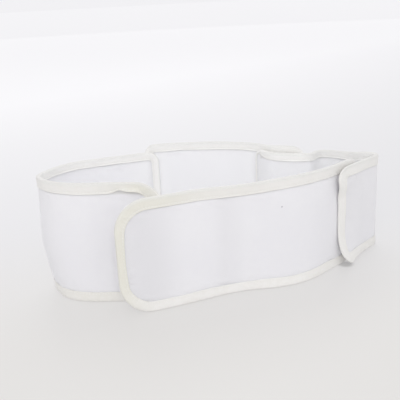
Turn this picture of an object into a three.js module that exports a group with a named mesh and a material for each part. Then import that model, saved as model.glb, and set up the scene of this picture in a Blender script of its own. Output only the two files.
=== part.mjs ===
import * as THREE from 'three';

// Weightlifting belt of soft padded fabric, closed into a loop and standing on its lower edge.
// Millimetres, +Z up; X runs along the loop from the free end at the left to the folded end at the right.

const panelThickness = 3;
const tapeThickness = 0.8;
const tapeGap = 0.3;
const edgeFlat = 1.3;
const edgeBevel = 1.2;
const faceRows = 5;
const sideSteps = 3;
const cornerStep = 5.5;
const plainStep = 13;
const bendStep = 0.26;
const samplesPerSpan = 24;

const tapeHalf = panelThickness / 2 + tapeGap + tapeThickness;
const panelInset = tapeThickness + tapeGap;

const fabric = { color: 0xe8e8ed, roughness: 0.9, metalness: 0 };
const tape = { color: 0xe9e5d8, roughness: 0.82, metalness: 0 };

// Each panel runs counterclockwise round the waist when seen from above.
// A station gives the middle of the wall in plan, the heights of its lower and upper edge,
// and how far the wall stands off outward at its foot and at its top.
const columns = ['x', 'y', 'low', 'high', 'foot', 'top'];

const panels = {
  front: {
    solid: 'front_panel',
    binding: 'front_binding',
    startRadius: 31,
    endRadius: 26,
    tapeOutside: 10.5,
    tapeInside: 8,
    stations: [
      [-107, -26.5, 0, 110, 0, 0],
      [-93, -30, 0, 110, 0, 0],
      [-75, -32.5, 0, 110, 0, 0],
      [-52, -34, 0, 110, 0, 0],
      [-28, -34.5, 0, 110, 0, 0],
      [-4, -37.5, 0, 110, -2.5, 2.5],
      [19, -41.5, 0, 110, -3, 3],
      [44, -46, 0, 110, 0, 0],
      [70, -47.5, 0, 110, 2, -2],
      [90, -45, 0, 110, 2, -2],
      [108, -40, 0, 110, 0, 0],
      [126, -33.5, 0, 110, 0, 0],
      [146, -25.5, 0, 110, 0, 0],
      [166, -16, 0, 110, 0, 0],
    ],
  },
  right: {
    solid: 'right_strap',
    binding: 'right_binding',
    startRadius: 14,
    endRadius: 12,
    tapeOutside: 10.5,
    tapeInside: 8,
    stations: [
      [128.2, -39.6, 3, 106.5, 7, 0],
      [148.5, -31.1, 3, 106.5, 2, 0],
      [168, -21.4, 2, 105.5, 0, 0],
      [185, -12.2, 1, 104, 0, 0],
      [197.5, -4.5, 0, 103, 0, 0],
      [202.5, 3.5, 0, 102.5, 0, 0],
      [198.5, 11.5, 0, 102.7, 0, 0],
      [187, 14.5, 0, 103.6, 0, 0],
      [174, 14.3, 0, 106, 0, 0],
      [161, 13.5, 0, 109, 0, 0],
      [147, 13, 0, 112, 0, 0],
      [134, 10.8, 0, 114, 0, 0],
      [124.5, 4.6, 0, 115.2, 0, 0],
      [118, -0.8, 0, 116, 0, 0],
      [111, -3.9, 0, 117, 0, 0],
      [102, -2.4, 0, 118, 0, 0],
      [92, 2, 0, 118.5, 0, 0],
      [83.5, 7, 0, 119, 0, 0],
      [76.5, 13.5, 0, 120, 0, 0],
      [72.6, 22.5, 0, 121, 0, 0],
      [69.5, 33, 0, 122, 0, 0],
    ],
  },
  back: {
    solid: 'back_panel',
    binding: 'back_binding',
    startRadius: 14,
    endRadius: 10,
    tapeOutside: 9,
    tapeInside: 8,
    stations: [
      [112, 3, 0, 121.8, 0, 0],
      [104.5, 4.3, 0, 123.4, 0, 0],
      [95, 8.1, 0, 124.6, 0, 0],
      [87.5, 12.3, 0, 125.2, 0, 0],
      [81.7, 16.9, 0, 125.2, 0, 0],
      [78.3, 24.1, 0, 125, 0, 0],
      [74.9, 34.3, 0, 125, 0, 0],
      [69.5, 43.3, 0, 125.2, 0, 0],
      [60, 52.5, 0, 125.5, 0, 0],
      [45, 64.2, 0, 126, 0, 0],
      [28, 76, 0, 126, 0, 0],
      [-13, 94.6, 0, 126, 0, 0],
      [-28.5, 99, 0, 126, 0, 0],
    ],
  },
  left: {
    solid: 'left_strap',
    binding: 'left_binding',
    startRadius: 12,
    endRadius: 27,
    tapeOutside: 10.5,
    tapeInside: 8,
    stations: [
      [-17, 90, 0, 119, 0, 0],
      [-34, 94.3, 0, 119, 0, 0],
      [-55, 96.5, 0, 119, 0, 0],
      [-80, 98.5, 0, 119, 0, 0],
      [-108, 99, 0, 119, 0, 0],
      [-125, 92.5, 0, 119, 0, 0],
      [-138, 82, 0, 119, 0, 0],
      [-147, 69, 0, 119, -2, 2],
      [-147, 54, 0, 119, -2, 2],
      [-143.5, 40, 0, 119, -1, 1],
      [-135, 27, 0, 119, 0, 0],
      [-122, 16, 0, 119, 0, 0],
      [-105, 7, 0, 119, 0, 0],
      [-90, -2, 0, 119, 0, 0],
      [-78, -10.5, 0, 119, 1.5, 0],
      [-67, -18.3, 0, 119, 5, 0],
      [-57.5, -25.4, 0, 119, 9, 0],
    ],
  },
};

// Slope of every column at each station, from the chords on its two sides.
function stationSlopes(rows, marks) {
  const chord = (i, c) => (rows[i + 1][c] - rows[i][c]) / (marks[i + 1] - marks[i]);
  const last = rows.length - 1;
  const slopes = rows.map((row, i) => row.map((value, c) => {
    if (i === 0 || i === last) return 0;
    const before = marks[i] - marks[i - 1];
    const after = marks[i + 1] - marks[i];
    return (chord(i - 1, c) * after + chord(i, c) * before) / (before + after);
  }));
  slopes[0] = rows[0].map((value, c) => 1.5 * chord(0, c) - 0.5 * slopes[1][c]);
  slopes[last] = rows[last].map((value, c) => 1.5 * chord(last - 1, c) - 0.5 * slopes[last - 1][c]);
  return slopes;
}

// Smooth curve through the stations, measured along its length in plan.
function smoothWall(rows) {
  const marks = [0];
  for (let i = 1; i < rows.length; i += 1) {
    marks.push(marks[i - 1] + Math.hypot(rows[i][0] - rows[i - 1][0], rows[i][1] - rows[i - 1][1]));
  }
  const slopes = stationSlopes(rows, marks);
  const samples = [];
  for (let i = 0; i < rows.length - 1; i += 1) {
    const span = marks[i + 1] - marks[i];
    const extra = i === rows.length - 2 ? 1 : 0;
    for (let k = 0; k < samplesPerSpan + extra; k += 1) {
      const w = k / samplesPerSpan;
      const a = 2 * w ** 3 - 3 * w ** 2 + 1;
      const b = (w ** 3 - 2 * w ** 2 + w) * span;
      const c = -2 * w ** 3 + 3 * w ** 2;
      const d = (w ** 3 - w ** 2) * span;
      samples.push(rows[i].map((value, j) => (
        a * value + b * slopes[i][j] + c * rows[i + 1][j] + d * slopes[i + 1][j]
      )));
    }
  }
  const lengths = [0];
  for (let i = 1; i < samples.length; i += 1) {
    const [x, y] = samples[i];
    lengths.push(lengths[i - 1] + Math.hypot(x - samples[i - 1][0], y - samples[i - 1][1]));
  }
  const headings = samples.map((sample, i) => {
    const next = samples[Math.min(i + 1, samples.length - 1)];
    const previous = samples[Math.max(i - 1, 0)];
    return Math.atan2(next[1] - previous[1], next[0] - previous[0]);
  });
  for (let i = 1; i < headings.length; i += 1) {
    headings[i] -= Math.round((headings[i] - headings[i - 1]) / (2 * Math.PI)) * 2 * Math.PI;
  }
  const length = lengths[lengths.length - 1];

  function at(s) {
    const wanted = Math.min(Math.max(s, 0), length);
    let first = 0;
    let last = lengths.length - 1;
    while (last - first > 1) {
      const middle = (first + last) >> 1;
      if (lengths[middle] <= wanted) first = middle;
      else last = middle;
    }
    const w = (wanted - lengths[first]) / (lengths[last] - lengths[first]);
    const mix = (list) => list[first] + (list[last] - list[first]) * w;
    const point = {};
    columns.forEach((name, c) => {
      point[name] = mix({ [first]: samples[first][c], [last]: samples[last][c] });
    });
    point.low = Math.max(point.low, 0);
    point.heading = mix(headings);
    return point;
  }

  return { length, at };
}

// Point of the wall at a length s and a height z, stood off outward by n.
function wallPoint(wall, s, z, n) {
  const p = wall.at(s);
  const share = Math.min(Math.max((z - p.low) / (p.high - p.low), 0), 1);
  const stand = p.foot * (1 - share) ** 2 + p.top * share ** 2 + n;
  return [p.x + Math.sin(p.heading) * stand, p.y - Math.cos(p.heading) * stand, z];
}

// Height lost to a rounded corner at a distance from the end.
function cornerRise(distance, radius) {
  const d = Math.min(Math.max(distance, 0), radius);
  return radius - Math.sqrt(Math.max(radius ** 2 - (radius - d) ** 2, 0));
}

// Lower and upper edge of a panel whose whole outline is drawn in by an inset.
function edgesAt(panel, wall, s, inset) {
  const p = wall.at(s);
  const rise = Math.max(
    cornerRise(s - inset, panel.startRadius - inset),
    cornerRise(wall.length - s - inset, panel.endRadius - inset),
  );
  return { bottom: p.low + inset + rise, top: p.high - inset - rise };
}

// Lengths at which a panel is cut: even angles on the corners, closer together where the wall bends.
function cutLengths(panel, wall, inset) {
  const cuts = [];
  const corner = (radius) => Math.max(3, Math.round((radius * Math.PI) / 2 / cornerStep));
  const startSteps = corner(panel.startRadius);
  for (let i = 0; i < startSteps; i += 1) {
    const angle = ((i / startSteps) * Math.PI) / 2;
    cuts.push(inset + (panel.startRadius - inset) * (1 - Math.cos(angle)));
  }
  const from = panel.startRadius;
  const to = wall.length - panel.endRadius;
  const fine = 400;
  const weights = [0];
  for (let i = 1; i <= fine; i += 1) {
    const s = from + ((to - from) * (i - 0.5)) / fine;
    const bend = Math.abs(wall.at(s + 1.5).heading - wall.at(s - 1.5).heading) / 3;
    weights.push(weights[i - 1] + ((1 / plainStep + bend / bendStep) * (to - from)) / fine);
  }
  const steps = Math.ceil(weights[fine]);
  for (let i = 0, k = 0; i <= steps; i += 1) {
    const wanted = (weights[fine] * i) / steps;
    while (k < fine - 1 && weights[k + 1] < wanted) k += 1;
    const w = (wanted - weights[k]) / (weights[k + 1] - weights[k]);
    cuts.push(from + ((to - from) * (k + w)) / fine);
  }
  const endSteps = corner(panel.endRadius);
  for (let i = 1; i <= endSteps; i += 1) {
    const angle = ((i / endSteps) * Math.PI) / 2;
    cuts.push(to + (panel.endRadius - inset) * Math.sin(angle));
  }
  return cuts;
}

// Closed body through a row of equal loops, either joined end to end or capped at both ends.
function bodyFromLoops(loops, joined, material, name) {
  const size = loops[0].length;
  const positions = loops.flat(2);
  const index = [];
  const quad = (a, b, c, d) => index.push(a, b, c, a, c, d);
  const turns = joined ? loops.length : loops.length - 1;
  for (let i = 0; i < turns; i += 1) {
    const here = i * size;
    const next = ((i + 1) % loops.length) * size;
    for (let k = 0; k < size; k += 1) {
      const after = (k + 1) % size;
      quad(here + k, next + k, next + after, here + after);
    }
  }
  if (!joined) {
    const far = (loops.length - 1) * size;
    for (let k = 0; k < size / 2 - 1; k += 1) {
      quad(k, k + 1, size - 2 - k, size - 1 - k);
      quad(far + k, far + size - 1 - k, far + size - 2 - k, far + k + 1);
    }
  }
  let volume = 0;
  const corner = (i) => new THREE.Vector3(...positions.slice(3 * i, 3 * i + 3));
  for (let i = 0; i < index.length; i += 3) {
    volume += corner(index[i]).dot(corner(index[i + 1]).cross(corner(index[i + 2])));
  }
  if (volume < 0) index.reverse();
  const geometry = new THREE.BufferGeometry();
  geometry.setAttribute('position', new THREE.Float32BufferAttribute(positions, 3));
  geometry.setIndex(index);
  geometry.computeVertexNormals();
  const mesh = new THREE.Mesh(geometry, new THREE.MeshStandardMaterial(material));
  mesh.name = name;
  return mesh;
}

// The padded panel: a loop round each cut, up the outer face and down the inner one.
function panelBody(panel, wall) {
  const loops = cutLengths(panel, wall, panelInset).map((s) => {
    const { bottom, top } = edgesAt(panel, wall, s, panelInset);
    const heights = [];
    for (let k = 0; k <= faceRows; k += 1) heights.push(bottom + ((top - bottom) * k) / faceRows);
    const outer = heights.map((z) => wallPoint(wall, s, z, panelThickness / 2));
    const inner = heights.map((z) => wallPoint(wall, s, z, -panelThickness / 2));
    return outer.concat(inner.reverse());
  });
  return bodyFromLoops(loops, false, fabric, panel.solid);
}

// Outline of a panel in length and height: along the foot, up the end, back along the top and down.
function outlineOf(panel, wall) {
  const cuts = cutLengths(panel, wall, 0);
  const foot = cuts.map((s) => [s, edgesAt(panel, wall, s, 0).bottom]);
  const head = cuts.map((s) => [s, edgesAt(panel, wall, s, 0).top]).reverse();
  const between = (a, b) => {
    const steps = [];
    for (let i = 1; i < sideSteps; i += 1) steps.push([a[0], a[1] + ((b[1] - a[1]) * i) / sideSteps]);
    return steps;
  };
  const end = between(foot[foot.length - 1], head[0]);
  const start = between(head[head.length - 1], foot[0]);
  return [...foot, ...end, ...head, ...start];
}

// The bias tape: a folded strip that holds the edge of the panel, carried once round the outline.
function bindingBody(panel, wall) {
  const inside = tapeHalf - tapeThickness;
  const section = [
    [panel.tapeOutside, tapeHalf],
    [edgeBevel, tapeHalf],
    [0, edgeFlat],
    [0, -edgeFlat],
    [edgeBevel, -tapeHalf],
    [panel.tapeInside, -tapeHalf],
    [panel.tapeInside, -inside],
    [tapeThickness, -inside],
    [tapeThickness, inside],
    [panel.tapeOutside, inside],
  ];
  const outline = outlineOf(panel, wall);
  const loops = outline.map((point, i) => {
    const before = outline[(i + outline.length - 1) % outline.length];
    const after = outline[(i + 1) % outline.length];
    const one = new THREE.Vector2(point[0] - before[0], point[1] - before[1]).normalize();
    const two = new THREE.Vector2(after[0] - point[0], after[1] - point[1]).normalize();
    const along = one.add(two).normalize();
    return section.map(([depth, n]) => (
      wallPoint(wall, point[0] - along.y * depth, point[1] + along.x * depth, n)
    ));
  });
  return bodyFromLoops(loops, true, tape, panel.binding);
}

const belt = new THREE.Group();
belt.name = 'weightlifting_belt';
for (const panel of Object.values(panels)) {
  const wall = smoothWall(panel.stations);
  belt.add(panelBody(panel, wall), bindingBody(panel, wall));
}

// The origin lies under the middle of the whole belt, on the surface it stands on.
const box = new THREE.Box3().setFromObject(belt);
const middle = box.getCenter(new THREE.Vector3());
for (const piece of belt.children) piece.geometry.translate(-middle.x, -middle.y, -box.min.z);

export default belt;
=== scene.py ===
import math

import bpy
import numpy as np
from mathutils import Matrix, Vector


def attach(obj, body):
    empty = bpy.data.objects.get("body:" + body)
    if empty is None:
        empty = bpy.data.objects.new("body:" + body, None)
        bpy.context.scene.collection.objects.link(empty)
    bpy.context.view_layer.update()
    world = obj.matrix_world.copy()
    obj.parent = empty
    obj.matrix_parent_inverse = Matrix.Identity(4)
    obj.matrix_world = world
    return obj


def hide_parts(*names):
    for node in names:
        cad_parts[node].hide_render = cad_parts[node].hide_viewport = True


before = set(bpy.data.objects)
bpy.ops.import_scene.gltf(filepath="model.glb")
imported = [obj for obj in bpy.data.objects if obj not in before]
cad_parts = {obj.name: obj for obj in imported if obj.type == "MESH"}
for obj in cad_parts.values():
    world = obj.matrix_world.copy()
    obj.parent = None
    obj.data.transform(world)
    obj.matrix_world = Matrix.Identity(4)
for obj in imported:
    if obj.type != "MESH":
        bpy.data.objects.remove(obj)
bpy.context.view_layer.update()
scene = bpy.context.scene
print("frame loaded:", len(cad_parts), "nodes")

mm = 0.001
fullTurn = 2 * math.pi


# the wall each panel follows

tableMiddle = (26.3316, 25.2325)  # plan point of the station tables that is the frame's origin
lowEdge, highEdge = 2, 3  # places of the two edges in a station
spanSamples = 24  # samples of a wall between two stations
quarterArc = 1.6  # length of a quarter circle over its radius, rounded up


# distance run along a row of points: the sum of the steps so far
def runAlong(points):
    return np.concatenate([[0], np.cumsum(np.hypot(*np.diff(points, axis=0).T))])


# slope at a station: the chords on its two sides, each weighted by the other's span;
# at an end, one and a half times the chord less half the next slope
def stationSlopes(rows, marks):
    spans = np.diff(marks)[:, None]
    chords = np.diff(rows, axis=0) / spans
    inner = (chords[:-1] * spans[1:] + chords[1:] * spans[:-1]) / (spans[:-1] + spans[1:])
    first = 1.5 * chords[0] - 0.5 * inner[0]
    last = 1.5 * chords[-1] - 0.5 * inner[-1]
    return np.vstack([first, inner, last])


# cubic Hermite curve through the stations, measured along its length in plan
def wallFrom(stations):
    rows = np.array(stations, float)
    marks = runAlong(rows[:, :2])
    slopes = stationSlopes(rows, marks)
    span = np.diff(marks)[:, None, None]
    w = (np.arange(spanSamples) / spanSamples)[None, :, None]
    curve = ((2 * w**3 - 3 * w**2 + 1) * rows[:-1, None] + (w**3 - 2 * w**2 + w) * span * slopes[:-1, None]
             + (3 * w**2 - 2 * w**3) * rows[1:, None] + (w**3 - w**2) * span * slopes[1:, None])
    samples = np.vstack([curve.reshape(-1, rows.shape[1]), rows[-1:]])
    samples[:, lowEdge] = np.maximum(samples[:, lowEdge], 0)
    lengths = runAlong(samples[:, :2])
    ahead = np.vstack([samples[1:], samples[-1:]]) - np.vstack([samples[:1], samples[:-1]])
    headings = np.unwrap(np.arctan2(ahead[:, 1], ahead[:, 0]))
    return {"samples": samples, "lengths": lengths, "headings": headings, "length": lengths[-1]}


# one entry of the stations at length s, between its two samples
def columnAt(wall, column, s):
    return np.interp(s, wall["lengths"], wall["samples"][:, column])


# point at length s and height z: the plan curve moved outward by n and by the lean,
# which is the foot's share falling and the top's share rising with the square of the height
def onWall(wall, s, z, n):
    x, y, low, high, foot, top = (columnAt(wall, c, s) for c in range(6))
    heading = np.interp(s, wall["lengths"], wall["headings"])
    past = s - np.clip(s, 0, wall["length"])  # beyond an end the wall runs straight on
    share = np.clip((z - low) / (high - low), 0, 1)
    stand = foot * (1 - share)**2 + top * share**2 + n
    return np.stack([x + np.cos(heading) * past + np.sin(heading) * stand - tableMiddle[0],
                     y + np.sin(heading) * past - np.cos(heading) * stand - tableMiddle[1], z], -1) * mm


# height lost to a rounded corner: the radius less the circle's height at that distance from the end
def cornerRise(distance, radius):
    d = np.clip(distance, 0, radius)
    return radius - np.sqrt(np.maximum(radius**2 - (radius - d)**2, 0))


# lower and upper edge at length s, with the whole outline drawn in by an inset
def edgesAt(panel, wall, s, inset):
    rise = np.maximum(cornerRise(s - inset, panel["startRadius"] - inset),
                      cornerRise(wall["length"] - s - inset, panel["endRadius"] - inset))
    return columnAt(wall, lowEdge, s) + inset + rise, columnAt(wall, highEdge, s) - inset - rise


# lengths at which a panel is cut: even angles round the corners and even steps between them
def cutLengths(panel, wall, inset, step):
    start, end = panel["startRadius"], panel["endRadius"]
    first = np.linspace(0, math.pi / 2, int(start * quarterArc / step) + 2)[:-1]
    last = np.linspace(0, math.pi / 2, int(end * quarterArc / step) + 2)[1:]
    middle = np.linspace(start, wall["length"] - end, int((wall["length"] - start - end) / step) + 2)
    return np.concatenate([inset + (start - inset) * (1 - np.cos(first)), middle,
                           wall["length"] - end + (end - inset) * np.sin(last)])


# distance in from the outline: to the nearest straight edge, or inside a corner's square
# the radius less the distance from the corner's centre
def edgeDistance(panel, wall, s, z):
    near = np.minimum(z - columnAt(wall, lowEdge, s), columnAt(wall, highEdge, s) - z)
    found = np.minimum(near, np.minimum(s, wall["length"] - s))
    for end, radius in ((s, panel["startRadius"]), (wall["length"] - s, panel["endRadius"])):
        inCorner = (end < radius) & (near < radius)
        found = np.where(inCorner, radius - np.hypot(radius - end, radius - near), found)
    return found


# step without corners: three times the square less twice the cube of the share of the way
def smoothStep(value, start, end):
    w = np.clip((value - start) / (end - start), 0, 1)
    return w * w * (3 - 2 * w)


# bell shape: the exponential of minus the squares of the two distances over their reaches
def bellAt(s, z, a, b, along, across):
    return np.exp(-((s - a) / along)**2 - ((z - b) / across)**2)


waveSet = {"count": 7, "sizes": (0.7, 1.4)}


# soft unevenness: sine waves of about one wavelength in seeded directions, added and divided
# by the root of their number
def softWaves(s, z, wavelength, seed):
    dice = np.random.default_rng(seed)
    count = waveSet["count"]
    turn = dice.uniform(0, fullTurn, count)
    size = dice.uniform(*waveSet["sizes"], count)
    phase = dice.uniform(0, fullTurn, count)
    waves = [np.sin((s * math.cos(a) + z * math.sin(a)) * fullTurn / (wavelength * k) + p)
             for a, k, p in zip(turn, size, phase)]
    return np.sum(waves, axis=0) / math.sqrt(count)


driftShape = {"ramp": 35, "length": 70, "upright": 0.5}


# slow waviness of the whole wall, faded out where panels lie on each other
def wallDrift(panel, s, z):
    start, end = panel["free"]
    ramp = driftShape["ramp"]
    window = smoothStep(s, start, start + ramp) * (1 - smoothStep(s, end - ramp, end))
    waves = softWaves(s, z * driftShape["upright"], driftShape["length"], panel["seed"])
    return panel["drift"] * window * waves


sewnEnd = {"outer": 2.4, "edging": 1.9}  # face that stays where an end is flat, and tape left at its edge


# how much of an amount the flattened ends take at length s: a bell shape in length about each end
def sewnShare(panel, s, amount):
    bells = (end[amount] * np.exp(-((s - end["at"]) / end["reach"])**2) for end in panel["sewn"])
    return sum(bells, 0 * s)


# depth of the inner tape: drawn in towards its edging by the narrowing share
def sewnDepth(e, narrow):
    return e - np.maximum(e - sewnEnd["edging"], 0) * narrow


# point on a panel: its drift, bends that push it along and outward as bell shapes in length and height,
# and flattened ends where the thickness shrinks towards the outer face
def onPanel(panel, wall, s, z, n):
    bells = [(bellAt(s, z, *place), shift, outward) for *place, shift, outward in panel["bends"]]
    pushed = s + sum(bell * shift for bell, shift, outward in bells)
    pressed = n + sewnShare(panel, s, "press") * (sewnEnd["outer"] - n)
    stand = pressed + wallDrift(panel, s, z) + sum(bell * outward for bell, shift, outward in bells)
    return onWall(wall, pushed, z, stand)


# meshes

gridSteps = ((0, 0), (1, 0), (1, 1), (0, 1))  # corners of a face in rows and columns


# faces of a grid of points: each joins four neighbours, the columns close and joined rows close too
def gridFaces(rows, columns, joinRows):
    i = np.arange(rows if joinRows else rows - 1)[:, None]
    j = np.arange(columns)[None, :]
    corners = [(i + a) % rows * columns + (j + b) % columns for a, b in gridSteps]
    return np.stack(corners, -1).reshape(-1, 4)


# faces that close a row of points, each joining two points to the two opposite
def capFaces(columns):
    k = np.arange(columns // 2 - 1)
    return np.stack([k, k + 1, columns - 2 - k, columns - 1 - k], -1)


# whether closed faces look inward: the sum of each corner times its face's area is below zero
def looksInward(vertices, faces):
    a, b, c, d = (vertices[faces[:, k]] for k in range(4))
    return np.sum((a - a.mean(0)) * np.cross(c - a, d - b)) < 0


# smooth mesh object that rides on the part, with flat coordinates as its UV map
def meshObject(name, vertices, faces, flat, material):
    mesh = bpy.data.meshes.new(name)
    mesh.from_pydata(vertices.tolist(), [], faces.tolist())
    layer = mesh.uv_layers.new(name="flat")
    layer.data.foreach_set("uv", np.ascontiguousarray(flat, np.float32).ravel())
    mesh.polygons.foreach_set("use_smooth", np.ones(len(faces), bool))
    mesh.materials.append(material)
    mesh.update()
    piece = bpy.data.objects.new(name, mesh)
    scene.collection.objects.link(piece)
    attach(piece, "root")
    return piece


# closed rows of points into a mesh object with faces turned outward and values at its points
def gridObject(name, points, flat, joinRows, material, attributes):
    rows, columns = points.shape[:2]
    vertices = points.reshape(-1, 3)
    faces = gridFaces(rows, columns, joinRows)
    count = rows if joinRows else rows - 1
    corners = [flat[a:a + count, b:b + columns] for a, b in gridSteps]
    corners = np.stack(corners, 2).reshape(-1, 4, 2)
    if not joinRows:  # end caps, from the outer face across to the inner one
        cap = capFaces(columns)
        faces = np.vstack([faces, cap, cap[:, ::-1] + (rows - 1) * columns])
        corners = np.vstack([corners, flat[0][cap], flat[-1][cap[:, ::-1]]])
    if looksInward(vertices, faces):
        faces, corners = faces[:, ::-1], corners[:, ::-1]
    piece = meshObject(name, vertices, faces, corners, material)
    for key, values in attributes.items():
        layer = piece.data.attributes.new(key, "FLOAT", "POINT")
        layer.data.foreach_set("value", values.astype(np.float32).ravel())
    return piece


# shader nodes

# a new node with its settings
def addNode(tree, kind, **settings):
    node = tree.nodes.new(kind)
    for key, value in settings.items():
        setattr(node, key, value)
    return node


# puts a number, colour or another node's output on a socket
def feed(tree, socket, value):
    if isinstance(value, bpy.types.NodeSocket):
        tree.links.new(value, socket)
    else:
        socket.default_value = value


# one arithmetic operation
def mathOf(tree, operation, *values):
    node = addNode(tree, "ShaderNodeMath", operation=operation)
    for socket, value in zip(node.inputs, values):
        feed(tree, socket, value)
    return node.outputs[0]


# a value times an amount
def scaled(tree, value, amount):
    return mathOf(tree, "MULTIPLY", value, amount)


# one vector operation that gives a number
def vectorMath(tree, operation, first, second):
    node = addNode(tree, "ShaderNodeVectorMath", operation=operation)
    feed(tree, node.inputs[0], first)
    feed(tree, node.inputs[1], second)
    return node.outputs["Value"]


# the third coordinate of a vector
def heightOf(tree, vector):
    split = addNode(tree, "ShaderNodeSeparateXYZ")
    feed(tree, split.inputs[0], vector)
    return split.outputs[2]


# the first colour passing into the second by a share
def mixColour(tree, share, first, second, blend="MIX"):
    node = addNode(tree, "ShaderNodeMix", data_type="RGBA", blend_type=blend)
    feed(tree, node.inputs[0], share)
    feed(tree, node.inputs[6], first)
    feed(tree, node.inputs[7], second)
    return node.outputs[2]


# a value carried smoothly from one range to another
def rangeOf(tree, value, low, high, toLow=0.0, toHigh=1.0):
    node = addNode(tree, "ShaderNodeMapRange", interpolation_type="SMOOTHSTEP")
    for socket, entry in zip(node.inputs, (value, low, high, toLow, toHigh)):
        feed(tree, socket, entry)
    return node.outputs[0]


# fractal noise
def noiseOf(tree, vector, scale, detail, rough=0.55):
    node = addNode(tree, "ShaderNodeTexNoise")
    feed(tree, node.inputs["Vector"], vector)
    node.inputs["Scale"].default_value = scale
    node.inputs["Detail"].default_value = detail
    node.inputs["Roughness"].default_value = rough
    return node.outputs["Fac"]


# a value stored at the mesh points
def attributeOf(tree, name):
    return addNode(tree, "ShaderNodeAttribute", attribute_name=name).outputs["Fac"]


# coordinates of a material: the flat map, and the place in the frame
def coordinatesOf(tree):
    flat = addNode(tree, "ShaderNodeUVMap", uv_map="flat").outputs[0]
    return flat, addNode(tree, "ShaderNodeTexCoord").outputs["Object"]


# an empty node group with its sockets
def startGroup(name, inputs, outputs):
    tree = bpy.data.node_groups.new(name, "ShaderNodeTree")
    for key, kind, value in inputs:
        socket = tree.interface.new_socket(name=key, in_out="INPUT", socket_type=kind)
        if value is not None:
            socket.default_value = value
    for key, kind in outputs:
        tree.interface.new_socket(name=key, in_out="OUTPUT", socket_type=kind)
    return tree, addNode(tree, "NodeGroupInput"), addNode(tree, "NodeGroupOutput")


# a node group placed in a material
def useGroup(tree, group, **values):
    node = addNode(tree, "ShaderNodeGroup", node_tree=group)
    for key, value in values.items():
        feed(tree, node.inputs[key], value)
    return node


threadShape = {"round": 0.6, "gap": (0.1, 0.7)}


# threads: ribs are the sine's height across one pitch, rows are a sine along the other,
# pushed by Slant times the distance from the rib's middle, which makes knit Vs where Slant isn't 0
def makeThreads(shape):
    inputs = [("Vector", "NodeSocketVector", None), ("Pitch", "NodeSocketFloat", 0.001),
              ("Row", "NodeSocketFloat", 0.001), ("Slant", "NodeSocketFloat", 0.0),
              ("Turn", "NodeSocketFloat", 0.0)]
    outputs = [("Height", "NodeSocketFloat"), ("Gap", "NodeSocketFloat")]
    tree, start, end = startGroup("threads", inputs, outputs)
    turn = addNode(tree, "ShaderNodeVectorRotate", rotation_type="Z_AXIS")
    feed(tree, turn.inputs["Vector"], start.outputs["Vector"])
    feed(tree, turn.inputs["Angle"], start.outputs["Turn"])
    split = addNode(tree, "ShaderNodeSeparateXYZ")
    feed(tree, split.inputs[0], turn.outputs[0])
    x = mathOf(tree, "DIVIDE", split.outputs[0], start.outputs["Pitch"])
    y = mathOf(tree, "DIVIDE", split.outputs[1], start.outputs["Row"])
    aside = mathOf(tree, "ABSOLUTE", mathOf(tree, "SUBTRACT", mathOf(tree, "FRACT", x), 0.5))
    pushed = mathOf(tree, "ADD", y, scaled(tree, aside, start.outputs["Slant"]))

    def ridge(place):
        wave = mathOf(tree, "ABSOLUTE", mathOf(tree, "SINE", scaled(tree, place, math.pi)))
        return mathOf(tree, "POWER", wave, shape["round"])

    height = mathOf(tree, "MULTIPLY", ridge(x), ridge(pushed))
    feed(tree, end.inputs["Height"], height)
    feed(tree, end.inputs["Gap"], rangeOf(tree, height, *shape["gap"], 1.0, 0.0))
    return tree


handlingShape = {
    "large": (17, 2.0), "small": (150, 3.0), "largeShare": 0.7, "smallShare": 0.3,
    "mottle": (0.35, 0.65), "soil": (0.4, 0.7),
}


# mottling: two sizes of noise added, the large patches counting most; Soil is the noise faded upward
# from the resting edge over its reach
def makeHandling(shape):
    inputs = [("Vector", "NodeSocketVector", None), ("Reach", "NodeSocketFloat", 0.02)]
    outputs = [("Mottle", "NodeSocketFloat"), ("Soil", "NodeSocketFloat")]
    tree, start, end = startGroup("handling", inputs, outputs)
    large = noiseOf(tree, start.outputs["Vector"], *shape["large"])
    small = noiseOf(tree, start.outputs["Vector"], *shape["small"])
    mixed = mathOf(tree, "ADD", scaled(tree, large, shape["largeShare"]),
                   scaled(tree, small, shape["smallShare"]))
    feed(tree, end.inputs["Mottle"], rangeOf(tree, mixed, *shape["mottle"]))
    rise = rangeOf(tree, heightOf(tree, start.outputs["Vector"]), 0.0, start.outputs["Reach"], 1.0, 0.0)
    feed(tree, end.inputs["Soil"], mathOf(tree, "MULTIPLY", rise, rangeOf(tree, small, *shape["soil"])))
    return tree


threads = makeThreads(threadShape)
handling = makeHandling(handlingShape)


# a material with its shader's roughness, sheen and roughness of the sheen
def startMaterial(name, roughness, sheen, sheenRoughness):
    material = bpy.data.materials.new(name)
    material.use_nodes = True
    tree = material.node_tree
    shader = next(n for n in tree.nodes if n.type == "BSDF_PRINCIPLED")
    shader.inputs["Roughness"].default_value = roughness
    shader.inputs["Sheen Weight"].default_value = sheen
    shader.inputs["Sheen Roughness"].default_value = sheenRoughness
    shader.inputs["Specular IOR Level"].default_value = 0.25
    return material, tree, shader


# relief of a material from a height
def bumpInto(tree, shader, height, strength, distance):
    bump = addNode(tree, "ShaderNodeBump")
    bump.inputs["Strength"].default_value = strength
    bump.inputs["Distance"].default_value = distance
    feed(tree, bump.inputs["Height"], height)
    tree.links.new(bump.outputs[0], shader.inputs["Normal"])


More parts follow.
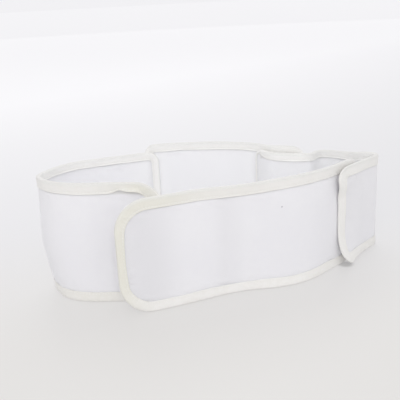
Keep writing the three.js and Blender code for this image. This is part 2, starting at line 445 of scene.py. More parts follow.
fabricLook = {
    "surface": (0.9, 0.2, 0.5),
    "light": (0.863, 0.858, 0.884, 1), "shade": (0.845, 0.839, 0.870, 1), "gap": (0.795, 0.795, 0.817, 1),
    # the inner-face colour is painted light; the colour after it is painted shade where another layer lies
    # behind, in a crease and on a turn
    "inside": (0.948, 0.949, 0.966, 1), "paintedShade": (0.775, 0.770, 0.795, 1),
    # the seam colour is painted shade where the fabric runs under the tape
    "seamShade": (0.70, 0.69, 0.67, 1), "soil": (0.74, 0.72, 0.69, 1), "speck": (0.36, 0.34, 0.38, 1),
    "gapShare": 0.32, "seamShare": 0.65, "soilShare": 0.06, "soilReach": 0.03,
    "wale": 0.00085, "course": 0.0007, "slant": 0.9, "nap": (2600, 2.0, 0.6),
    "roughness": (0.3, 0.7, 0.82, 0.96), "knitHeight": 0.6, "napHeight": 0.5, "bump": (0.55, 0.00022),
    "speckAt": (0.1607, 0.0820, 0), "speckEdge": (0.0004, 0.00096, 0.8, 0.0),
    "throughShare": 0.4, "throughDepth": 0.004,
}


# brushed knit: knit Vs with a fine nap over them, mottled, a little darker at the foot, with painted shade
# in the seam, painted light that makes the inner face paler, and painted shade where another layer lies
# behind, in a crease and on a turn
def makeFabric(look):
    material, tree, shader = startMaterial("brushedKnit", *look["surface"])
    flat, place = coordinatesOf(tree)
    knit = useGroup(tree, threads, Vector=flat, Pitch=look["wale"], Row=look["course"], Slant=look["slant"])
    worn = useGroup(tree, handling, Vector=place, Reach=look["soilReach"])
    nap = noiseOf(tree, flat, *look["nap"])
    gap = scaled(tree, knit.outputs["Gap"], look["gapShare"])
    # painted shade along the seams, strongest under the lips of the upper tapes
    seam = scaled(tree, attributeOf(tree, "seam"), look["seamShare"])
    soil = scaled(tree, worn.outputs["Soil"], look["soilShare"])
    colour = mixColour(tree, worn.outputs["Mottle"], look["light"], look["shade"])
    # painted light: the inner faces are made paler to stand in for the light that reaches inside
    colour = mixColour(tree, attributeOf(tree, "inside"), colour, look["inside"])
    # painted shade: greyer where another layer lies behind, in a crease and on a turn
    colour = mixColour(tree, attributeOf(tree, "paintedShade"), colour, look["paintedShade"])
    colour = mixColour(tree, gap, colour, look["gap"])
    colour = mixColour(tree, seam, colour, look["seamShade"])
    colour = mixColour(tree, soil, colour, look["soil"])
    speck = rangeOf(tree, vectorMath(tree, "DISTANCE", flat, look["speckAt"]), *look["speckEdge"])
    feed(tree, shader.inputs["Base Color"], mixColour(tree, speck, colour, look["speck"]))
    feed(tree, shader.inputs["Roughness"], rangeOf(tree, nap, *look["roughness"]))
    loops = scaled(tree, knit.outputs["Height"], look["knitHeight"])
    bumpInto(tree, shader, mathOf(tree, "ADD", loops, scaled(tree, nap, look["napHeight"])), *look["bump"])
    shader.inputs["Subsurface Weight"].default_value = look["throughShare"]  # light through a single layer
    shader.inputs["Subsurface Radius"].default_value = (1, 1, 1)
    shader.inputs["Subsurface Scale"].default_value = look["throughDepth"]
    return material


tapeLook = {
    "surface": (0.82, 0.12, 0.45),
    "light": (0.890, 0.879, 0.866, 1), "shade": (0.864, 0.851, 0.826, 1), "gap": (0.815, 0.795, 0.752, 1),
    # the worn colour greys the fold partly as wear and partly as painted shade on the upper rims; the
    # inner-face colour is painted light
    "worn": (0.722, 0.714, 0.694, 1), "inside": (0.972, 0.966, 0.950, 1), "aged": (0.79, 0.778, 0.68, 1),
    "soil": (0.62, 0.59, 0.53, 1), "insideShare": 0.9, "gapShare": 0.3, "grooveShare": 0.2,
    "soilShare": 0.10, "soilReach": 0.015, "foot": (0.0003, 0.0016, 0.1, 0.0),
    "agedSpread": (0.2, 0.8, 0.6, 1.0), "foldSpread": (0.35, 0.65, 0.5, 1.0),
    "pitch": 0.00052, "fuzz": (900, 3.0, 0.65), "roughness": (0.3, 0.7, 0.74, 0.9),
    "weaveHeight": 0.7, "fuzzHeight": 0.4, "bump": (0.45, 0.0002),
}


# bias tape: a plain weave turned 45 degrees, mottled, greyed along the fold by wear and by painted shade on
# the upper rims, yellower where it has aged, and paler on the inner face and at some places as painted light
def makeTape(look):
    material, tree, shader = startMaterial("biasTape", *look["surface"])
    flat, place = coordinatesOf(tree)
    weave = useGroup(tree, threads, Vector=flat, Pitch=look["pitch"], Row=look["pitch"], Turn=math.pi / 4)
    worn = useGroup(tree, handling, Vector=place, Reach=look["soilReach"])
    fuzz = noiseOf(tree, flat, *look["fuzz"])
    # painted light: a paler colour on the tape's inner face and at the listed places
    inside = scaled(tree, attributeOf(tree, "inside"), look["insideShare"])
    aged = scaled(tree, attributeOf(tree, "aged"), rangeOf(tree, fuzz, *look["agedSpread"]))
    gap = scaled(tree, weave.outputs["Gap"], look["gapShare"])
    # painted shade darkening the stitch groove
    groove = scaled(tree, attributeOf(tree, "groove"), look["grooveShare"])
    # greying along the fold: partly wear, partly painted shade that tones down the upper rims
    fold = scaled(tree, attributeOf(tree, "fold"), rangeOf(tree, fuzz, *look["foldSpread"]))
    soil = scaled(tree, worn.outputs["Soil"], look["soilShare"])
    foot = rangeOf(tree, heightOf(tree, place), *look["foot"])
    colour = mixColour(tree, worn.outputs["Mottle"], look["light"], look["shade"])
    layers = ((inside, "inside"), (aged, "aged"), (gap, "gap"), (groove, "gap"), (fold, "worn"),
              (soil, "soil"), (foot, "soil"))
    for share, tint in layers:
        colour = mixColour(tree, share, colour, look[tint])
    feed(tree, shader.inputs["Base Color"], colour)
    feed(tree, shader.inputs["Roughness"], rangeOf(tree, fuzz, *look["roughness"]))
    yarns = scaled(tree, weave.outputs["Height"], look["weaveHeight"])
    bumpInto(tree, shader, mathOf(tree, "ADD", yarns, scaled(tree, fuzz, look["fuzzHeight"])), *look["bump"])
    return material


threadLook = {
    "surface": (0.55, 0.1, 0.4),
    "light": (0.92, 0.915, 0.895, 1), "shade": (0.86, 0.85, 0.81, 1), "ply": 0.00045, "row": 0.004,
    "turn": 0.6, "soilShare": 0.2, "soilReach": 0.01, "bump": (0.4, 0.0001),
}


# sewing thread: two plies as slanted rows along each stitch
def makeThread(look):
    material, tree, shader = startMaterial("sewingThread", *look["surface"])
    flat, place = coordinatesOf(tree)
    twist = useGroup(tree, threads, Vector=flat, Pitch=look["ply"], Row=look["row"], Turn=look["turn"])
    worn = useGroup(tree, handling, Vector=place, Reach=look["soilReach"])
    soil = scaled(tree, worn.outputs["Soil"], look["soilShare"])
    colour = mixColour(tree, twist.outputs["Gap"], look["light"], look["shade"])
    feed(tree, shader.inputs["Base Color"], mixColour(tree, soil, colour, look["shade"]))
    bumpInto(tree, shader, twist.outputs["Height"], *look["bump"])
    return material


brushedKnit = makeFabric(fabricLook)
biasTape = makeTape(tapeLook)
sewingThread = makeThread(threadLook)
print("materials made")


# padded panels

padding = {
    "half": 1.5, "crown": 0.32, "crownReach": 15, "pinch": 0.22, "pinchReach": 1.6, "seamReach": 0.8,
    "pucker": 0.16, "puckerReach": 9, "puckerLength": 11, "underTape": (-3, 1),
    "lowPinch": 0.3, "lowSeam": 0.05, "upperSpan": (0.4, 3),  # shares left away from the upper edge
    "step": 1.5, "inset": 1.1, "seamRows": 13, "fewerRows": 18, "mapGap": 40,
}


# soft fold: a bell shape turned by an angle, times its height
def foldAt(s, z, a, b, along, across, turn, height):
    forward = (s - a) * math.cos(turn) + (z - b) * math.sin(turn)
    aside = (z - b) * math.cos(turn) - (s - a) * math.sin(turn)
    return height * np.exp(-(forward / along)**2 - (aside / across)**2)


# both faces of a padded panel: half the thickness, a crown that rises with the distance in from the seam,
# a pinch along the seam, puckers that fade away from it, and the panel's own soft folds
def makePanel(panel, wall):
    pad = padding
    cuts = cutLengths(panel, wall, pad["inset"], pad["step"])[:, None]
    bottom, top = edgesAt(panel, wall, cuts, pad["inset"])
    tall = (top - bottom).max()
    close = np.arange(0, pad["seamRows"], pad["step"] / 2)  # rows lie closer where the seams are
    middleCount = int(tall / pad["step"]) - pad["fewerRows"]
    middle = np.linspace(pad["seamRows"], tall - pad["seamRows"], middleCount)
    v = np.concatenate([close, middle, tall - close[::-1]])[None, :] / tall
    z = bottom + (top - bottom) * v
    s = cuts + 0 * z
    d = edgeDistance(panel, wall, s, z)
    upper = 1 - smoothStep(columnAt(wall, highEdge, s) - z - d, *pad["upperSpan"])  # upper edge nearest
    folds = sum((foldAt(s, z, *fold) for fold in panel["folds"]), 0 * s)

    def upperShare(low):
        return low + (1 - low) * upper

    def face(side, tape):
        inward = d - tape
        within = np.maximum(inward, 0)
        rise = pad["crown"] * (1 - np.exp(-within / pad["crownReach"]))
        pinch = pad["pinch"] * np.exp(-(inward / pad["pinchReach"])**2) * upperShare(pad["lowPinch"])
        waves = softWaves(s, z, pad["puckerLength"], panel["seed"] + side)
        pucker = pad["pucker"] * np.exp(-(inward / pad["puckerReach"])**2) * waves
        calm = 1 - sewnShare(panel, s, "melt")
        height = pad["half"] + (rise + (pucker - pinch) * calm) * smoothStep(inward, *pad["underTape"])
        # painted shade where the fabric runs under the tape, far stronger along the upper edges
        seam = np.exp(-(within / pad["seamReach"])**2) * upperShare(pad["lowSeam"])
        return height, seam

    outer, outerSeam = face(1, panel["tapeOutside"])
    inner, innerSeam = face(2, panel["tapeInside"])
    points = np.concatenate([onPanel(panel, wall, s, z, outer + folds),
                             onPanel(panel, wall, s, z, -inner + folds)[:, ::-1]], 1)
    far = wall["length"] + pad["mapGap"]  # the inner face lies beside the outer one in the flat map
    u = np.concatenate([s, far + s[:, ::-1]], 1)
    w = np.concatenate([z, z[:, ::-1]], 1) + panel["flatRow"]
    flat = np.stack([u, w], -1) * mm
    flat = np.concatenate([flat, flat[:, -1:] + (0, mm)], 1)
    # painted shade: darker stretches where another layer lies behind, along a crease of the front and on the
    # left strap's turn
    layer = sum((k * smoothStep(s, a - soft, a + soft) * (1 - smoothStep(s, b - soft, b + soft))
                 for a, b, soft, k in panel["paintedShade"]), 0 * s)
    marks = {
        "seam": np.concatenate([outerSeam, innerSeam[:, ::-1]], 1),
        # painted light: a paler inner face, given per panel along its length
        "inside": np.concatenate([0 * s, np.interp(s[:, ::-1], *zip(*panel["pale"]))], 1),
        "paintedShade": np.concatenate([layer, 0 * s], 1),  # less light comes through where a layer lies behind
    }
    piece = gridObject(panel["name"] + "_padding", points, flat, False, brushedKnit, marks)
    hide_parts(panel["solid"])
    return piece


# bias tape bindings

tapeShape = {
    "step": 1.25, "fineStep": 0.6, "ripple": 0.10, "rippleLength": 13, "rippleSpan": (0.2, 2.0),
    "slantAlong": 0.8, "slantAcross": 0.4, "gather": 0.24, "gatherPitch": 4.3, "gatherSpan": (1.5, 7),
    "gatherSway": 1.3, "swayLength": 5.1, "cornerGain": 22, "upperSpan": (0.5, 0.95),
    "wander": 0.28, "wanderLength": 42, "wanderSpan": (4, 8), "liftSpan": (4.5, 10.5), "changeSpan": (3, 9),
    "gape": 0.55, "gapeInside": 0.7, "gapeLength": 26, "gapeMean": 0.75, "gapeVary": 0.35,
    "gapeFrom": 1.1, "gapeTo": 0.1, "meltFrom": 3, "meltTo": 1, "seat": 1.5, "stitchIn": 1.8,
    "grooveHalf": 0.5, "foldReach": 1.2, "foldUpper": 0.8, "foldShare": 0.5, "insideSpan": (-0.4, 1.2),
    "foldExtra": 4.8, "mapRow": 200, "wanderSeed": 5, "rippleSeed": 7, "gapeSeed": 9,
}


# the outline in length and height, closed and cut evenly, with the inward direction
# and the turning at each point
def outlineOf(panel, wall, step):
    cuts = cutLengths(panel, wall, 0, tapeShape["fineStep"])
    bottom, top = edgesAt(panel, wall, cuts, 0)
    ring = np.vstack([np.stack([cuts, bottom], -1), np.stack([cuts, top], -1)[::-1]])
    ring = np.vstack([ring, ring[:1]])
    run = runAlong(ring)
    count = int(run[-1] / step)
    t = np.linspace(0, run[-1], count, endpoint=False)
    points = np.stack([np.interp(t, run, ring[:, 0]), np.interp(t, run, ring[:, 1])], -1)
    ahead = np.roll(points, -1, 0) - np.roll(points, 1, 0)
    ahead = (ahead + np.roll(ahead, 1, 0) + np.roll(ahead, -1, 0)) / 3
    heading = np.arctan2(ahead[:, 1], ahead[:, 0])
    inward = np.stack([-np.sin(heading), np.cos(heading)], -1)
    bend = np.roll(heading, -2) - np.roll(heading, 2)
    turning = np.abs(np.angle(np.exp(1j * bend))) / (4 * run[-1] / count)
    return {"t": t, "points": points, "inward": inward, "turning": turning, "length": run[-1]}


# half of the tape's section, from its lip to the middle of the fold:
# depth in from the edge, and height off the wall
def tapeSide(reach):
    lip = [(reach - 0.25, 1.58), (reach, 1.64), (reach + 0.05, 1.78), (reach - 0.08, 1.94),
           (reach - 0.45, 2.04), (reach - 1.2, 2.08), (reach - 1.8, 2.03), (reach - 2.4, 2.14)]
    face = [(1.9 + (reach - 4.3) * k, n) for k, n in ((0.8, 2.27), (0.55, 2.38), (0.3, 2.47))]
    fold = [(1.9, 2.52), (1.3, 2.38), (0.8, 2.03), (0.36, 1.48), (0.09, 0.76), (0.0, 0.0)]
    return np.array(lip + face + fold)


# the tape's hidden face, from the inside lip round the panel's edge to the outside lip
def tapeLining(panel):
    half = [(4.5, 1.50), (1.6, 1.46), (0.95, 1.1), (0.78, 0)]
    back = [(e, -n) for e, n in half[:-1]]
    first, last = (panel["tapeInside"] - 0.9, -1.52), (panel["tapeOutside"] - 0.9, 1.52)
    return np.array([first] + back + half[::-1] + [last])


# change of the lip at each outline point: bell curves along the closed outline about places
# given as length and height
def alongLip(ring, bells):
    total = 0 * ring["t"]
    for s, z, reach, amount in bells:
        at = ring["t"][np.argmin(np.hypot(ring["points"][:, 0] - s, ring["points"][:, 1] - z))]
        away = (ring["t"] - at + ring["length"] / 2) % ring["length"] - ring["length"] / 2
        total = total + amount * np.exp(-(away / reach)**2)
    return total


# soft waves along the outline
def lipWaves(ring, wavelength, seed):
    return softWaves(ring["t"], 0 * ring["t"], wavelength, seed)


# ripples of the tape at outline place t and depth e: slanting waves, and gathers across the tape
# where the outline turns
def tapeRipple(ring, e, seed):
    shape = tapeShape
    t = ring["t"][:, None]
    slant = softWaves(t + shape["slantAlong"] * e, shape["slantAcross"] * e, shape["rippleLength"], seed)
    corner = np.clip(ring["turning"] * shape["cornerGain"], 0, 1)[:, None]
    sway = shape["gatherSway"] * np.sin(t / shape["swayLength"] + seed)
    pleats = np.sin(t * fullTurn / shape["gatherPitch"] + sway)
    gather = pleats * corner * smoothStep(e, *shape["gatherSpan"])
    return shape["ripple"] * slant + shape["gather"] * gather


# share of the tape that is yellowed, or made paler as painted light: bell shapes in length and height about
# the places
def shareAt(places, s, z):
    return sum((k * bellAt(s, z, *place) for *place, k in places), 0 * s)


# the folded tape carried once round the outline: outside half, fold, inside half, and back within
# its own thickness; lips gape along upper edges, and at melted ends the inner lip sinks into the padding
def makeBinding(panel, wall):
    shape = tapeShape
    ring = outlineOf(panel, wall, shape["step"])
    outside, inside = tapeSide(panel["tapeOutside"]), tapeSide(panel["tapeInside"])
    lining = tapeLining(panel)
    section = np.vstack([outside, inside[-2::-1] * (1, -1), lining])
    e, n = section[:, 0][None, :], section[:, 1][None, :]
    shown = np.concatenate([np.ones(len(section) - len(lining)), np.zeros(len(lining))])[None, :]
    reach = np.where(n > 0, panel["tapeOutside"], panel["tapeInside"])
    upper = smoothStep(-ring["inward"][:, 1:], *shape["upperSpan"])  # the outline runs along the upper edge
    edgeLength = ring["points"][:, :1]

    waves = lipWaves(ring, shape["wanderLength"], panel["seed"] + shape["wanderSeed"])[:, None]
    wander = shape["wander"] * (waves * smoothStep(e, *shape["wanderSpan"]))
    narrows = alongLip(ring, panel["narrows"])[:, None]
    widens = alongLip(ring, panel["widens"])[:, None]
    change = np.where(n > 0, -narrows, widens)
    depth = e * (1 + change * smoothStep(e, *shape["changeSpan"])) + wander
    depth = np.where(n < 0, sewnDepth(depth, sewnShare(panel, edgeLength, "narrow")), depth)
    s = edgeLength + ring["inward"][:, :1] * depth
    z = ring["points"][:, 1:] + ring["inward"][:, 1:] * depth

    ripple = tapeRipple(ring, e, panel["seed"] + shape["rippleSeed"])
    ripple = ripple * shown * smoothStep(e, *shape["rippleSpan"])
    lift = alongLip(ring, panel["lifts"])[:, None] * smoothStep(e, *shape["liftSpan"]) * (n > 0)
    uneven = lipWaves(ring, shape["gapeLength"], panel["seed"] + shape["gapeSeed"])[:, None]
    uneven = shape["gapeMean"] + shape["gapeVary"] * uneven
    gape = np.where(n > 0, shape["gape"], shape["gapeInside"]) * upper * uneven
    gape = gape * smoothStep(e, reach - shape["gapeFrom"], reach - shape["gapeTo"]) * np.sign(n)
    melted = sewnShare(panel, edgeLength, "melt") * smoothStep(e, shape["meltFrom"], reach - shape["meltTo"])
    melted = melted * (n < 0) * shown
    stand = n - (n + shape["seat"]) * melted + np.sign(n) * ripple + lift + gape
    points = onPanel(panel, wall, s, np.maximum(z, 0), stand)

    girth = runAlong(np.vstack([section, section[:1]])) + panel["flatRow"] + shape["mapRow"]
    along = np.append(ring["t"], ring["length"])
    flat = np.stack(np.broadcast_arrays(along[:, None], girth[None, :]), -1) * mm
    full = np.ones((len(edgeLength), 1))
    foldReach = shape["foldReach"] + shape["foldUpper"] * upper
    # the fold's grey is partly wear and partly painted shade, strongest on the upper rims that catch the
    # light
    wearAndRimShade = shape["foldShare"] + (1 - shape["foldShare"]) * upper
    wearAndRimShade = wearAndRimShade * (1 - sewnShare(panel, edgeLength, "plain"))
    marks = {
        "fold": np.exp(-(e / foldReach)**2) * wearAndRimShade,
        # painted shade along the stitch groove
        "groove": np.exp(-((e - reach + shape["stitchIn"]) / shape["grooveHalf"])**2) * shown * full,
        "aged": shareAt(panel["aged"], s, z),
        # painted light: the tape's inner half and the listed places are made paler
        "inside": np.maximum(smoothStep(-n, *shape["insideSpan"]) * full, shareAt(panel["paintedLight"], s, z)),
    }
    piece = gridObject(panel["name"] + "_tape", points, flat, True, biasTape, marks)
    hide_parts(panel["binding"])
    return piece, ring


# stitches

stitch = {
    "pitch": 3.1, "length": 2.4, "radius": 0.21, "seat": 2.03, "sink": 0.26, "rise": 0.10, "taper": 0.75,
    "stations": 7, "sides": 6, "mapSide": 0.26,
}


# tubes along rows of points: circles across each row's direction, with their own radii
def tubesAlong(centre, outward, size):
    along = np.gradient(centre, axis=1)
    along /= np.linalg.norm(along, axis=-1, keepdims=True)
    out = outward - along * np.sum(outward * along, -1, keepdims=True)
    out /= np.linalg.norm(out, axis=-1, keepdims=True)
    across = np.cross(along, out)
    turn = np.linspace(0, fullTurn, stitch["sides"], endpoint=False)[:, None]
    circle = np.cos(turn) * out[:, :, None] + np.sin(turn) * across[:, :, None]
    return centre[:, :, None] + size[None, :, None, None] * circle


# rows of short threads on the tape: each a tube along the outline whose ends dip through the tape,
# round in section, thinner towards both ends
def makeStitches(panel, wall, ring):
    shape = tapeShape
    count = int(ring["length"] / stitch["pitch"])
    middle = (np.arange(count) + 0.5) * ring["length"] / count
    w = np.linspace(-1, 1, stitch["stations"])
    t = middle[:, None] + w[None, :] * stitch["length"] / 2
    size = stitch["radius"] * mm * np.sqrt(np.maximum(1 - stitch["taper"] * w**4, 0))
    arch = stitch["seat"] + stitch["rise"] - (stitch["sink"] + stitch["rise"]) * w[None, :]**4
    closed = np.append(ring["t"], ring["length"])

    def around(values):  # values of the outline points at the places of the stitches
        return np.interp(t % ring["length"], closed, np.append(values, values[0]))

    rows = []
    for side, reach in ((1, panel["tapeOutside"]), (-1, panel["tapeInside"])):
        inset = reach - shape["stitchIn"]
        lift = alongLip(ring, panel["lifts"]) * smoothStep(inset, *shape["liftSpan"]) * (side > 0)
        change = -alongLip(ring, panel["narrows"]) if side > 0 else alongLip(ring, panel["widens"])
        waves = lipWaves(ring, shape["wanderLength"], panel["seed"] + shape["wanderSeed"])
        wander = shape["wander"] * waves * smoothStep(inset, *shape["wanderSpan"])
        narrow = around(sewnShare(panel, ring["points"][:, 0], "narrow")) * (side < 0)
        e = inset * (1 + around(change) * smoothStep(inset, *shape["changeSpan"])) + around(wander)
        e = sewnDepth(e, narrow)
        s = around(ring["points"][:, 0]) + around(ring["inward"][:, 0]) * e
        z = around(ring["points"][:, 1]) + around(ring["inward"][:, 1]) * e
        stand = side * arch + around(lift)
        centre = onPanel(panel, wall, s, z, stand)
        rows.append(tubesAlong(centre, onPanel(panel, wall, s, z, stand + side) - centre, size))
    tubes = np.concatenate(rows)
    count, stations, sides = tubes.shape[:3]
    cap = capFaces(sides)
    one = np.vstack([gridFaces(stations, sides, False), cap, cap[:, ::-1] + (stations - 1) * sides])
    faces = (one[None] + (np.arange(count) * stations * sides)[:, None, None]).reshape(-1, 4)
    vertices = tubes.reshape(-1, 3)
    if looksInward(vertices, faces):
        faces = faces[:, ::-1]
    own = faces % (stations * sides)
    flat = [own // sides * stitch["length"] / (stations - 1), own % sides * stitch["mapSide"]]
    flat = np.stack(flat, -1) * mm
    piece = meshObject(panel["name"] + "_stitching", vertices, faces, flat, sewingThread)
    return piece


# the four panels, in mm along the length, up and outward
# station: x, y, lower edge, upper edge, stand-off at the foot and at the top
# fold: length, height, two reaches, turn, height
# bend: length, height, two reaches, shift along, shift outward
# lift, narrowing or widening of a lip: length, height, reach, amount
# painted-shade stretch: start, end, softness, share
# aged tape, or tape made paler as painted light: length, height, two reaches, share
# pale: length, and the share of the paler colour on the inner face, which is painted light
# sewn: an end's length and reach, and how much it is pressed, narrowed, melted in and left without greying

plainPanel = {
    "folds": [], "bends": [], "lifts": [], "narrows": [], "widens": [], "paintedShade": [], "aged": [],
    "paintedLight": [], "sewn": [],
}
frontPanel = {
    **plainPanel,
    "name": "front", "solid": "front_panel", "binding": "front_binding", "seed": 11, "flatRow": 0,
    "startRadius": 31, "endRadius": 26, "tapeOutside": 10.5, "tapeInside": 8,
    "free": (70, 225), "drift": 0.35,
    "folds": [(106, 50, 11, 90, 0.0, -0.9), (152, 24, 7, 2.2, 0.1, -0.25)],
    "narrows": [(0, 55, 34, 0.28)],
    # painted shade where the left strap and the flap overlap the front, and along the soft crease
    "paintedShade": [(-40, 45, 24, 0.95), (96, 118, 9, 0.38), (235, 310, 30, 0.25)],
    "aged": [(2, 55, 16, 60, 1.0), (35, 107, 40, 16, 0.8)],
    "paintedLight": [(150, 4, 90, 10, 0.35), (160, 108, 22, 10, 0.22)],
    "pale": [(0, 1.0)],
    "stations": [
        (-107, -26.5, 0, 110, 0, 0), (-93, -30, 0, 110, 0, 0), (-75, -32.5, 0, 110, 0, 0),
        (-52, -34, 0, 110, 0, 0), (-28, -34.5, 0, 110, 0, 0), (-4, -37.5, 0, 110, -2.5, 2.5),
        (19, -41.5, 0, 110, -3, 3), (44, -46, 0, 110, 0, 0), (70, -47.5, 0, 110, 2, -2),
        (90, -45, 0, 110, 2, -2), (108, -40, 0, 110, 0, 0), (126, -33.5, 0, 110, 0, 0),
        (146, -25.5, 0, 110, 0, 0), (166, -16, 0, 110, 0, 0)],
}
rightStrap = {
    **plainPanel,
    "name": "right", "solid": "right_strap", "binding": "right_binding", "seed": 23, "flatRow": 500,
    "startRadius": 14, "endRadius": 12, "tapeOutside": 10.5, "tapeInside": 8,
    "free": (60, 130), "drift": 0.25,
    "widens": [(113, 105, 12, 0.25)],
    "paintedLight": [(15, 85, 60, 60, 0.65), (250, 60, 5, 80, 1.0)],
    "bends": [
        (0, 42, 24, 40, -2.6, -4.0), (0, 56, 17, 30, 0, -2.2), (0, 28, 24, 18, 0, -1.9),
        (0, 18, 20, 18, -1.8, 0), (6, 0, 18, 12, 0, 4.0), (0, 104, 18, 26, -9.5, 0),
        (0, 89, 18, 9, 0, 1.2), (0, 75, 17, 7, 0, -0.9)],
    "sewn": [
        {"at": 0, "reach": 20, "press": 0.45, "narrow": 0.0, "melt": 0.0, "plain": 0.0},
        {"at": 250, "reach": 12, "press": 0.4, "narrow": 0.85, "melt": 0.75, "plain": 1.0}],
    "pale": [(172, 1.0), (190, 0.72), (225, 0.72), (245, 1.0)],
    "stations": [
        (128.2, -39.6, 3, 106.5, 7, 0), (148.5, -31.1, 3, 106.5, 2, 0), (168, -21.4, 2, 105.5, 0, 0),
        (185, -12.2, 1, 104, 0, 0), (197.5, -4.5, 0, 103, 0, 0), (202.5, 3.5, 0, 102.5, 0, 0),
        (198.5, 11.5, 0, 102.7, 0, 0), (187, 14.5, 0, 103.6, 0, 0), (174, 14.3, 0, 106, 0, 0),
        (161, 13.5, 0, 109, 0, 0), (147, 13, 0, 112, 0, 0), (134, 10.8, 0, 114, 0, 0),
        (124.5, 4.6, 0, 115.2, 0, 0), (118, -0.8, 0, 116, 0, 0), (111, -3.9, 0, 117, 0, 0),
        (102, -2.4, 0, 118, 0, 0), (92, 2, 0, 118.5, 0, 0), (83.5, 7, 0, 119, 0, 0),
        (76.5, 13.5, 0, 120, 0, 0), (72.6, 22.5, 0, 121, 0, 0), (69.5, 33, 0, 122, 0, 0)],
}
backPanel = {
    **plainPanel,
    "name": "back", "solid": "back_panel", "binding": "back_binding", "seed": 37, "flatRow": 1000,
    "startRadius": 14, "endRadius": 10, "tapeOutside": 9, "tapeInside": 8,
    "free": (62, 150), "drift": 0.4,
    "pale": [(48, 1.0), (57, 1.0), (72, 0.65), (150, 0.65), (161, 1.0)],
    "stations": [
        (112, 3, 0, 121.8, 0, 0), (104.5, 4.3, 0, 123.4, 0, 0), (95, 8.1, 0, 124.6, 0, 0),
        (87.5, 12.3, 0, 125.2, 0, 0), (81.7, 16.9, 0, 125.2, 0, 0), (78.3, 24.1, 0, 125, 0, 0),
        (74.9, 34.3, 0, 125, 0, 0), (69.5, 43.3, 0, 125.2, 0, 0), (60, 52.5, 0, 125.5, 0, 0),
        (45, 64.2, 0, 126, 0, 0), (28, 76, 0, 126, 0, 0), (-13, 94.6, 0, 126, 0, 0),
        (-28.5, 99, 0, 126, 0, 0)],
}
leftStrap = {
    **plainPanel,
    "name": "left", "solid": "left_strap", "binding": "left_binding", "seed": 53, "flatRow": 1500,
    "startRadius": 12, "endRadius": 27, "tapeOutside": 10.5, "tapeInside": 8,
    "free": (35, 225), "drift": 0.4,
    "folds": [(253, 104, 15, 6, 0.0, -0.9)],
    "lifts": [(253, 118, 10, 2.0)],
    "narrows": [(241, 119, 6, 0.23), (255, 118, 15, 0.22)],
    # painted shade on the turn of the left strap
    "paintedShade": [(122, 174, 12, 0.18)],
    "aged": [(262, 115, 24, 14, 0.8), (205, 5, 50, 12, 0.3)],
    "paintedLight": [(0, 60, 5, 80, 1.0)],
    "bends": [(150, 55, 34, 36, 0, 4.2), (165, 0, 40, 18, 0, -1.6), (0, 62, 16, 60, 0, 0.9)],
    "sewn": [{"at": 0, "reach": 12, "press": 0.55, "narrow": 0.0, "melt": 0.7, "plain": 1.0}],
    "pale": [(0, 0.9), (12, 0.85), (45, 0.36)],
    "stations": [
        (-17, 90, 0, 119, 0, 0), (-34, 94.3, 0, 119, 0, 0), (-55, 96.5, 0, 119, 0, 0),
        (-80, 98.5, 0, 119, 0, 0), (-108, 99, 0, 119, 0, 0), (-125, 92.5, 0, 119, 0, 0),
        (-138, 82, 0, 119, 0, 0), (-147, 69, 0, 119, -2, 2), (-147, 54, 0, 119, -2, 2),
        (-143.5, 40, 0, 119, -1, 1), (-135, 27, 0, 119, 0, 0), (-122, 16, 0, 119, 0, 0),
        (-105, 7, 0, 119, 0, 0), (-90, -2, 0, 119, 0, 0), (-78, -10.5, 0, 119, 1.5, 0),
        (-67, -18.3, 0, 119, 5, 0), (-57.5, -25.4, 0, 119, 9, 0)],
}

for panel in (frontPanel, rightStrap, backPanel, leftStrap):
    wall = wallFrom(panel["stations"])
    padded = makePanel(panel, wall)
    tape, ring = makeBinding(panel, wall)
    sewn = makeStitches(panel, wall, ring)
    print(panel["name"], "made: length", round(wall["length"], 1), "mm, outline",
          round(ring["length"], 1), "mm")


# floor, light and camera

# painted shadow: the floor's glow is taken out in the hollow behind the flap's foot
floorLook = {  # a pale table lit from below, but not in the hollow behind the flap's foot
    "tone": (0.22, 0.22, 0.22, 1), "glow": (0.508, 0.508, 0.508, 1), "farGlow": (0.640, 0.640, 0.640, 1),
    "warm": (1.0, 0.982, 0.963, 1), "cool": (1.0, 0.993, 1.016, 1), "paintedShadow": (0, 0, 0, 1),
    "reachLine": (-0.4, 1, 0), "reach": (0.0, 1.35), "turnLine": (0.41, 0.91, 0), "turn": (-0.2, 0.2),
    "hollowAt": (0.110, -0.060, 0), "hollow": (0.004, 0.011, 0.4, 0.0),
    "firstRadius": 0.2, "flatRadius": 5, "radius": 14.0, "sweep": 1.2, "drop": 0.0003,
    "rings": 14, "spokes": 96, "surface": (0.45, 0.0, 0.5),
}


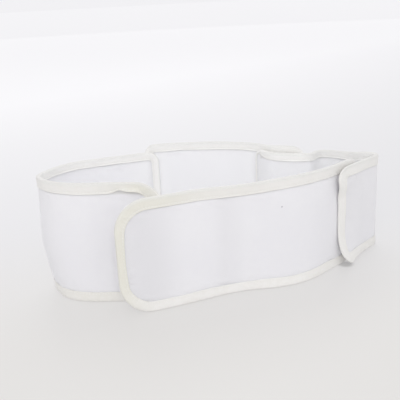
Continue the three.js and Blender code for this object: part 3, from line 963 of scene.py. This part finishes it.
# ring fan: circles of growing radius about the object's middle, flat at first and then sweeping up
def makeFloor(look):
    radius = np.geomspace(look["firstRadius"], look["radius"], look["rings"])
    radius = np.concatenate([[0.0], radius])[:, None]
    turn = np.linspace(0, fullTurn, look["spokes"], endpoint=False)[None, :]
    rise = look["sweep"] * smoothStep(radius, look["flatRadius"], look["radius"])
    points = np.stack([radius * np.cos(turn), radius * np.sin(turn), rise - look["drop"] + 0 * turn], -1)
    faces = gridFaces(len(radius), look["spokes"], False)
    mesh = bpy.data.meshes.new("floor")
    mesh.from_pydata(points.reshape(-1, 3).tolist(), [], faces.tolist())
    material, tree, shader = startMaterial("paleFloor", *look["surface"])
    place = addNode(tree, "ShaderNodeTexCoord").outputs["Object"]
    far = addNode(tree, "ShaderNodeMapRange")
    distance = vectorMath(tree, "DOT_PRODUCT", place, look["reachLine"])
    for socket, value in zip(far.inputs, (distance, *look["reach"], 0.0, 1.0)):
        feed(tree, socket, value)
    turned = rangeOf(tree, vectorMath(tree, "DOT_PRODUCT", place, look["turnLine"]), *look["turn"])
    tint = mixColour(tree, turned, look["warm"], look["cool"])
    feed(tree, shader.inputs["Base Color"], mixColour(tree, 1.0, tint, look["tone"], "MULTIPLY"))
    glow = mixColour(tree, far.outputs[0], look["glow"], look["farGlow"])
    glow = mixColour(tree, 1.0, tint, glow, "MULTIPLY")
    # painted shadow: no glow in the hollow behind the flap's foot
    shaded = rangeOf(tree, vectorMath(tree, "DISTANCE", place, look["hollowAt"]), *look["hollow"])
    feed(tree, shader.inputs["Emission Color"], mixColour(tree, shaded, glow, look["paintedShadow"]))
    shader.inputs["Emission Strength"].default_value = 1.0
    mesh.materials.append(material)
    floor = bpy.data.objects.new("floor", mesh)
    scene.collection.objects.link(floor)


makeFloor(floorLook)

lightLook = {  # sky at the horizon and overhead, where it turns, and each lamp's name, place, size and watts
    "low": (0.815, 0.815, 0.825, 1), "high": (0.745, 0.745, 0.755, 1), "turn": (0.35, 0.75),
    "lamps": [("frontLamp", (-0.55, -1.2, 1.1), 0.9, 7.8), ("backLamp", (0.5, 1.2, 1.8), 1.4, 11.5)],
    "aim": (0, 0, 0.06),
}


# sky: its colour changes with the height of the direction looked in
def makeSky(look):
    scene.world = bpy.data.worlds.new("softSky")
    scene.world.use_nodes = True
    tree = scene.world.node_tree
    height = heightOf(tree, addNode(tree, "ShaderNodeTexCoord").outputs["Generated"])
    colour = mixColour(tree, rangeOf(tree, height, *look["turn"]), look["low"], look["high"])
    background = next(n for n in tree.nodes if n.type == "BACKGROUND")
    feed(tree, background.inputs["Color"], colour)


makeSky(lightLook)
for name, place, size, watts in lightLook["lamps"]:
    lamp = bpy.data.objects.new(name, bpy.data.lights.new(name, "AREA"))
    lamp.data.energy = watts
    lamp.data.size = size
    lamp.location = place
    lamp.rotation_euler = (Vector(lightLook["aim"]) - Vector(place)).to_track_quat("-Z", "Y").to_euler()
    scene.collection.objects.link(lamp)
scene.view_settings.view_transform = "Standard"
scene.view_settings.look = "None"

cameraLook = {
    "at": (-0.28155, -0.57386, 0.2766), "plan": (0.4067, 0.9135), "pitch": 17.5, "roll": -3.0,
    "lens": 58.5, "sensor": 36.0, "near": 0.01, "far": 60,
}
pitch = math.radians(cameraLook["pitch"])
planX, planY = cameraLook["plan"]
ahead = Vector((planX * math.cos(pitch), planY * math.cos(pitch), -math.sin(pitch))).normalized()
right = ahead.cross(Vector((0, 0, 1))).normalized()
up = right.cross(ahead)
turnTo = Matrix((right, up, -ahead)).transposed().to_4x4()
roll = Matrix.Rotation(math.radians(cameraLook["roll"]), 4, "Z")
camera = bpy.data.objects.new("camera", bpy.data.cameras.new("camera"))
camera.data.lens = cameraLook["lens"]
camera.data.sensor_width = cameraLook["sensor"]
camera.data.clip_start = cameraLook["near"]
camera.data.clip_end = cameraLook["far"]
camera.matrix_world = Matrix.Translation(cameraLook["at"]) @ turnTo @ roll
scene.collection.objects.link(camera)
scene.camera = camera
print("floor, light and camera placed")

bpy.context.view_layer.update()
